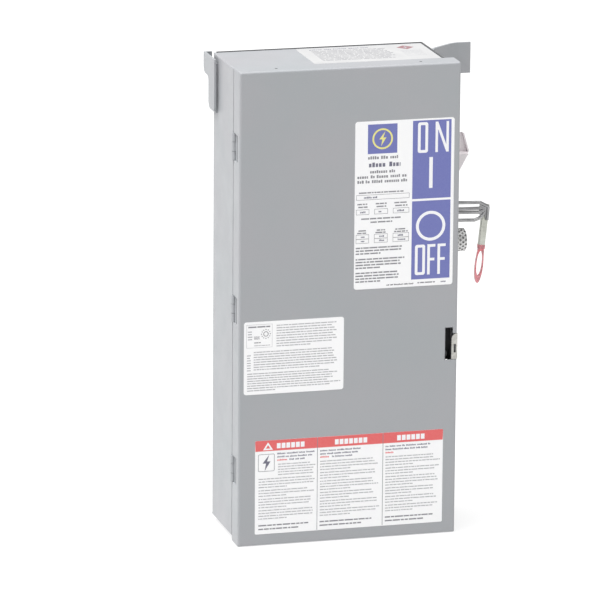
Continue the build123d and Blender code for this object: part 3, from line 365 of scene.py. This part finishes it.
class Label:
    """Print on one CAD label. u runs right and v runs up the sheet, in mm from its lower left corner."""

    def __init__(self, node, body, lies_flat=False):
        low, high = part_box(node)
        self.node, self.body = node, body
        self.across = Vector((MM, 0, 0))
        if lies_flat:
            self.up, self.out = Vector((0, MM, 0)), Vector((0, 0, MM))
            self.corner = Vector((low.x, low.y, low.z))
            self.height = (high.y - low.y) / MM
        else:
            self.up, self.out = Vector((0, 0, MM)), Vector((0, -MM, 0))
            self.corner = Vector((low.x, high.y, low.z))
            self.height = (high.z - low.z) / MM
        self.width = (high.x - low.x) / MM
        self.layers = {}

    def layer(self, color, low=STOCK_TOP, high=INK_TOP):
        key = (color, low, high)
        if key not in self.layers:
            self.layers[key] = bmesh.new()
        return self.layers[key], low, high

    def point(self, u, v, lift):
        return self.corner + self.across * u + self.up * v + self.out * lift

    def solid(self, layer, outline):
        """A closed plate of that outline."""
        mesh, low, high = layer
        bottom = [mesh.verts.new(self.point(u, v, low)) for u, v in outline]
        top = [mesh.verts.new(self.point(u, v, high)) for u, v in outline]
        mesh.faces.new(top)
        mesh.faces.new(bottom[::-1])
        for i in range(len(outline)):
            j = (i + 1) % len(outline)
            mesh.faces.new((bottom[i], bottom[j], top[j], top[i]))

    def hollow(self, layer, outer, inner):
        """A closed plate between two outlines with the same number of points."""
        mesh, low, high = layer
        loops = [[mesh.verts.new(self.point(u, v, lift)) for u, v in line]
                 for line, lift in ((outer, low), (outer, high), (inner, high), (inner, low))]
        for a, b in zip(loops, loops[1:] + loops[:1]):
            for i in range(len(outer)):
                j = (i + 1) % len(outer)
                mesh.faces.new((a[i], a[j], b[j], b[i]))

    def box_line(self, layer, left, right, low, high, line=0.45):
        self.hollow(layer, rectangle(left, right, low, high),
                    rectangle(left + line, right - line, low + line, high - line))

    def blocks(self, layer, left, v, count, wide, height, gap):
        """One word as a row of equal blocks."""
        for i in range(count):
            start = left + i * (wide + gap)
            self.solid(layer, rectangle(start, start + wide, v, v + height))

    def words(self, layer, rng, left, right, v, height, marks=False):
        """A line of unreadable print: bars of uneven length, or bars cut into uneven marks."""
        u = left
        while u < right - height:
            length = min(height * rng.uniform(1.2, 6.5), right - u)
            if marks:
                end = u + length
                while u < end:
                    wide = height * rng.uniform(0.42, 0.68)
                    tall = height * rng.choice((0.78, 0.78, 1.0))
                    self.solid(layer, rectangle(u, min(u + wide, right), v, v + tall))
                    u += wide + height * 0.2
            else:
                self.solid(layer, rectangle(u, u + length, v, v + height))
                u += length
            u += height * rng.uniform(0.45, 0.7)

    def lines(self, layer, rng, left, right, top, count, pitch, height, ends=0.5):
        """Lines of print, ragged on the right, with a short last line."""
        for i in range(count):
            reach = ends if i == count - 1 else rng.uniform(0.86, 1.0)
            self.words(layer, rng, left, left + (right - left) * reach, top - i * pitch, height)

    def finish(self, radius, sheet=SLOTS["label_stock"]):
        stock = self.layer("stock", 0.0, STOCK_TOP)
        self.solid(stock, rounded(0, self.width, 0, self.height, radius))
        names = {STOCK_TOP: "sheet", INK_TOP: "print", OVERPRINT_TOP: "overprint"}
        for (color, low, high), mesh in self.layers.items():
            bmesh.ops.recalc_face_normals(mesh, faces=mesh.faces)
            data = bpy.data.meshes.new(f"{self.node}_{names[high]}_{color}")
            mesh.to_mesh(data)
            mesh.free()
            piece = bpy.data.objects.new(data.name, data)
            bpy.context.scene.collection.objects.link(piece)
            is_sheet = color == "stock"
            data.materials.append(sheet if is_sheet else INKS[color])
            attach(piece, self.body)
            if is_sheet:
                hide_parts(self.node)


def letter_n(left, right, low, high, stroke):
    slope = stroke * 1.15
    return [(left, low), (left + stroke, low), (left + stroke, high - 2.9 * stroke), (right - stroke, low),
            (right, low), (right, high), (right - stroke, high), (right - stroke, low + 2.9 * stroke),
            (left + slope * 0.9, high), (left, high)]


def letter_f(left, right, low, high, stroke, arm):
    return [(left, low), (left + stroke, low), (left + stroke, arm), (right - 1.0, arm),
            (right - 1.0, arm + stroke), (left + stroke, arm + stroke), (left + stroke, high - stroke),
            (right, high - stroke), (right, high), (left, high)]


def letter_o(label, layer, left, right, low, high, stroke):
    label.hollow(layer, rounded(left, right, low, high, 2.6),
                 rounded(left + stroke, right - stroke, low + stroke, high - stroke, 0.8))


def bolt(u, v, size):
    """A lightning bolt about its middle."""
    shape = [(-0.10, -0.50), (0.26, 0.08), (0.04, 0.08), (0.18, 0.50), (-0.24, -0.04), (-0.02, -0.04)]
    return [(u + x * size, v + y * size) for x, y in shape]


def rating_label():
    rng = random.Random(11)
    label = Label("rating_label", "door")
    blue, white = label.layer("blue"), label.layer("white", INK_TOP, OVERPRINT_TOP)
    black, grey, slate = label.layer("black"), label.layer("grey"), label.layer("slate")
    yellow = label.layer("yellow", INK_TOP, OVERPRINT_TOP)

    # the position panel, in two halves: ON and its bar above, the ring and OFF below
    left, right, low, high, split = 68.4, 114.4, 8.2, 195.2, 102.0
    label.solid(blue, rectangle(left, right, split + 1.3, high))
    label.solid(blue, rectangle(left, right, low, split - 1.3))
    letter_o(label, white, 74.4, 86.6, 157.2, 193.0, 3.3)
    label.solid(white, letter_n(95.4, 111.4, 157.2, 193.0, 3.0))
    label.solid(white, rectangle(88.4, 92.6, 115.4, 151.8))
    label.hollow(white, circle(91.0, 70.8, 17.6), circle(91.0, 70.8, 14.1))
    letter_o(label, white, 72.6, 84.8, 13.2, 49.0, 3.3)
    label.solid(white, letter_f(87.4, 97.0, 13.2, 49.0, 3.2, 29.6))
    label.solid(white, letter_f(99.6, 109.4, 13.2, 49.0, 3.2, 29.6))

    # a plain block with a bolt in a ring
    label.solid(blue, rectangle(15.0, 50.0, 159.0, 193.4))
    label.hollow(yellow, circle(32.5, 176.2, 12.2), circle(32.5, 176.2, 10.2))
    label.solid(yellow, bolt(32.5, 176.2, 17.0))

    label.words(grey, rng, 15.4, 51.0, 152.6, 3.6, marks=True)
    label.words(slate, rng, 16.6, 54.0, 143.4, 5.4, marks=True)
    for v, start, end in ((136.2, 18.0, 48.0), (130.4, 3.0, 62.0), (124.8, 3.0, 62.0)):
        label.words(grey, rng, start, end, v, 3.5, marks=True)

    label.words(grey, rng, 5.0, 58.0, 112.9, 1.5)
    label.box_line(grey, 1.9, 65.2, 105.2, 111.2)
    label.words(slate, rng, 11.0, 27.0, 106.9, 2.2, marks=True)
    columns = ((1.8, 17.4), (23.6, 39.6), (45.8, 65.0))
    for start, end in columns:
        label.words(grey, rng, start + 1.5, end - 1.5, 99.6, 1.5)
        label.words(grey, rng, start + 2.5, end - 2.0, 96.2, 1.5)
        label.box_line(grey, start, end, 88.0, 94.2)
        label.words(slate, rng, start + 5.0, end - 4.5, 89.9, 2.2, marks=True)
        label.words(grey, rng, start + 3.0, end - 3.0, 68.4, 1.5)
        label.words(grey, rng, start + 1.5, end - 1.5, 65.6, 1.5)
        for row in (54.2, 59.2):
            label.box_line(grey, start, end, row, row + 5.4)
            label.words(slate, rng, start + 6.0, end - 4.0, row + 1.7, 2.0, marks=True)
    label.words(grey, rng, 8.0, 55.0, 82.2, 1.6)
    label.words(grey, rng, 19.0, 45.0, 78.0, 1.6)
    for top, count in ((48.0, 3), (34.6, 4), (18.4, 4)):
        label.lines(grey, rng, 1.8, 61.0, top, count, 3.4, 1.6)
    label.words(black, rng, 39.0, 71.0, 2.8, 1.6, marks=True)
    label.words(grey, rng, 76.0, 97.0, 3.4, 1.4)
    label.words(slate, rng, 104.0, 110.0, 3.2, 1.9, marks=True)
    label.finish(3.0)


def notice_label():
    rng = random.Random(23)
    label = Label("notice_label", "door")
    grey, pale = label.layer("grey"), label.layer("pale")
    label.box_line(pale, 3.0, 33.6, 55.5, 83.0, 0.35)
    label.hollow(grey, circle(26.0, 71.4, 3.1), circle(26.0, 71.4, 2.2))
    for i in range(12):
        angle = 2 * math.pi * i / 12
        label.solid(grey, circle(26.0 + 5.2 * math.cos(angle), 71.4 + 5.2 * math.sin(angle), 0.65, 10))
    label.words(grey, rng, 5.0, 31.0, 79.3, 1.6)
    for row in range(4):
        label.words(pale, rng, 4.6, 10.0, 74.0 - row * 3.0, 1.2)
        label.words(pale, rng, 12.0, 18.5, 68.4 - row * 1.0, 0.7)
    label.words(grey, rng, 12.0, 20.0, 60.9, 1.1)
    label.words(pale, rng, 12.0, 31.0, 57.6, 0.9)
    label.lines(pale, rng, 38.5, 112.0, 80.2, 9, 3.05, 1.15, 0.55)
    label.lines(pale, rng, 11.6, 111.0, 49.6, 8, 2.95, 1.15, 0.8)
    for row in range(7):
        label.words(pale, rng, 3.6, 8.2, 46.0 - row * 2.95, 1.1)
    label.lines(pale, rng, 4.0, 115.0, 24.2, 8, 2.85, 1.15, 0.3)
    label.finish(3.0)


def safety_label():
    """Three columns under a red band, with plain marks for its words, signs and figure."""
    rng = random.Random(37)
    label = Label("safety_label", "door")
    red, grey, pale = label.layer("red"), label.layer("grey"), label.layer("pale")
    slate = label.layer("slate")
    white = label.layer("white", INK_TOP, OVERPRINT_TOP)
    band = 99.3
    edges = (0.0, 74.4, 153.0, label.width)
    line, corner, turn = 0.35, 1.5, 8
    whole = rounded(0, label.width, band, label.height, corner, turn - 1)
    top_right, top_left = whole[turn:2 * turn], whole[2 * turn:3 * turn]
    label.solid(red, [(line, band), (edges[1] - line, band), (edges[1] - line, label.height)] + top_left)
    label.solid(red, rectangle(edges[1] + line, edges[2] - line, band, label.height))
    label.solid(red, [(edges[2] + line, band), (label.width - line, band)] + top_right
                + [(edges[2] + line, label.height)])
    for edge in edges[1:3]:
        label.solid(grey, rectangle(edge - line, edge + line, 0.6, label.height - 0.3))

    for start, count in ((25.8, 6), (95.2, 7), (170.0, 6)):
        label.blocks(white, start, 101.9, count, 4.5, 6.2, 1.2)
    label.hollow(white, [(9.4, 100.6), (21.2, 100.6), (15.3, 109.8)],
                 [(12.6, 102.3), (18.0, 102.3), (15.3, 106.5)])
    label.solid(slate, bolt(13.4, 85.4, 19.0))
    label.hollow(grey, rounded(3.6, 23.2, 75.0, 95.8, 1.5), rounded(4.2, 22.6, 75.6, 95.2, 1.0))

    bold = 1.9
    for left, right in ((26.4, 71.0), (77.6, 126.0), (156.2, 210.0)):
        label.words(slate, rng, left, right, 94.6, bold, marks=True)
        label.words(slate, rng, left, right - 3.0, 90.8, bold, marks=True)
        label.words(red, rng, left, left + 13.0, 87.0, bold, marks=True)
        if left < 150:
            label.words(slate, rng, left + 14.5, right - 10.0, 87.0, bold, marks=True)
    label.lines(pale, rng, 27.4, 72.0, 82.2, 5, 3.1, 1.1, 0.95)
    for top, count in ((65.4, 4), (51.6, 3), (41.2, 4), (27.6, 4)):
        label.lines(pale, rng, 4.2, 72.0, top, count, 3.3, 1.15)
    for left, right in ((77.6, 150.4), (156.2, 222.8)):
        for top, count in ((82.2, 4), (68.6, 3), (58.2, 4), (44.6, 3), (34.2, 3), (23.8, 3)):
            label.lines(pale, rng, left, right, top, count, 3.3, 1.15)
    for left, right in ((4.2, 64.0), (77.6, 140.0), (156.2, 214.0)):
        label.words(grey, rng, left, right, 9.4, 1.6)
        label.words(grey, rng, left, left + 0.8 * (right - left), 5.0, 1.6)
    label.finish(1.5)


def top_label():
    """The label on the case's top, greyed by settled dust."""
    rng = random.Random(53)
    label = Label("top_label", "case", lies_flat=True)
    grey, slate, red = label.layer("grey"), label.layer("slate"), label.layer("dusty_red")
    label.words(slate, rng, 14.0, 84.0, 74.0, 3.2, marks=True)
    for i in range(9):
        label.words(grey, rng, 14.0, 104.0 + rng.uniform(-8, 4), 66.0 - i * 6.4, 2.0)
    u, v, half = 126.5, 67.0, 10.5
    label.solid(red, [(u - half, v), (u, v - half), (u + half, v), (u, v + half)])
    label.solid(label.layer("pale", INK_TOP, OVERPRINT_TOP), bolt(u, v, 11.0))
    for i in range(5):
        label.words(label.layer("pale"), rng, 116.0, 140.0, 48.0 - i * 6.4, 1.6)
    label.finish(2.0, label_stock("dusty_stock", (0.50, 0.50, 0.505, 1.0), (0.55, 0.55, 0.55, 1.0)))


rating_label()
notice_label()
safety_label()
top_label()


# ---- studio ----

FLOOR_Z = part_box("door_pan")[0].z - 400 * MICRON
FLOOR_HALF = 60.0
SURROUND = 0.38            # strength of the even white light from all sides
OVERHEAD = 4.9             # strength of the softbox above and to the left
CAMERA_PLACE = (-1.6805, -6.0914, 1.5854)
CAMERA_TURN = (75.7745, -0.4095, -15.0948)     # degrees
LENS, SENSOR = 340.15, 36.0                    # mm
CAMERA_REACH = 160.0       # past the floor's far edge


def floor():
    data = bpy.data.meshes.new("floor")
    corners = [(-FLOOR_HALF, -FLOOR_HALF, FLOOR_Z), (FLOOR_HALF, -FLOOR_HALF, FLOOR_Z),
               (FLOOR_HALF, FLOOR_HALF, FLOOR_Z), (-FLOOR_HALF, FLOOR_HALF, FLOOR_Z)]
    data.from_pydata(corners, [], [(0, 1, 2, 3)])
    piece = bpy.data.objects.new("floor", data)
    bpy.context.scene.collection.objects.link(piece)
    f = Finish("floor_white", Roughness=0.9, Emission_Strength=0.81)
    f.shader.inputs["Emission Color"].default_value = (1.0, 1.0, 1.0, 1.0)
    f.shader.inputs["Specular IOR Level"].default_value = 0.0
    f.color(f.mixed(f.remap(f.noise(2.0, 2.0), 0.0, 1.0),
                    (0.195, 0.195, 0.195, 1.0), (0.205, 0.205, 0.205, 1.0)))
    data.materials.append(f.material)


def sky_light(name, towards, strength, spread):
    """A broad, even light from a direction, like an overhead softbox far away."""
    data = bpy.data.lights.new(name, "SUN")
    data.energy, data.angle = strength, math.radians(spread)
    light = bpy.data.objects.new(name, data)
    light.rotation_euler = Vector(towards).to_track_quat("Z", "Y").to_euler()
    bpy.context.scene.collection.objects.link(light)


def camera():
    data = bpy.data.cameras.new("camera")
    data.sensor_width = SENSOR
    data.lens = LENS
    data.clip_end = CAMERA_REACH
    eye = bpy.data.objects.new("camera", data)
    eye.location = CAMERA_PLACE
    eye.rotation_euler = [math.radians(a) for a in CAMERA_TURN]
    bpy.context.scene.collection.objects.link(eye)
    bpy.context.scene.camera = eye


def studio():
    world = bpy.data.worlds.new("studio")
    world.use_nodes = True
    surround = world.node_tree.nodes["Background"]
    surround.inputs["Color"].default_value = (1.0, 1.0, 1.0, 1.0)
    surround.inputs["Strength"].default_value = SURROUND
    bpy.context.scene.world = world
    bpy.context.scene.view_settings.view_transform = "Standard"
    sky_light("overhead_left", (-0.30, -0.06, 0.95), OVERHEAD, 50.0)
    floor()
    camera()


studio()
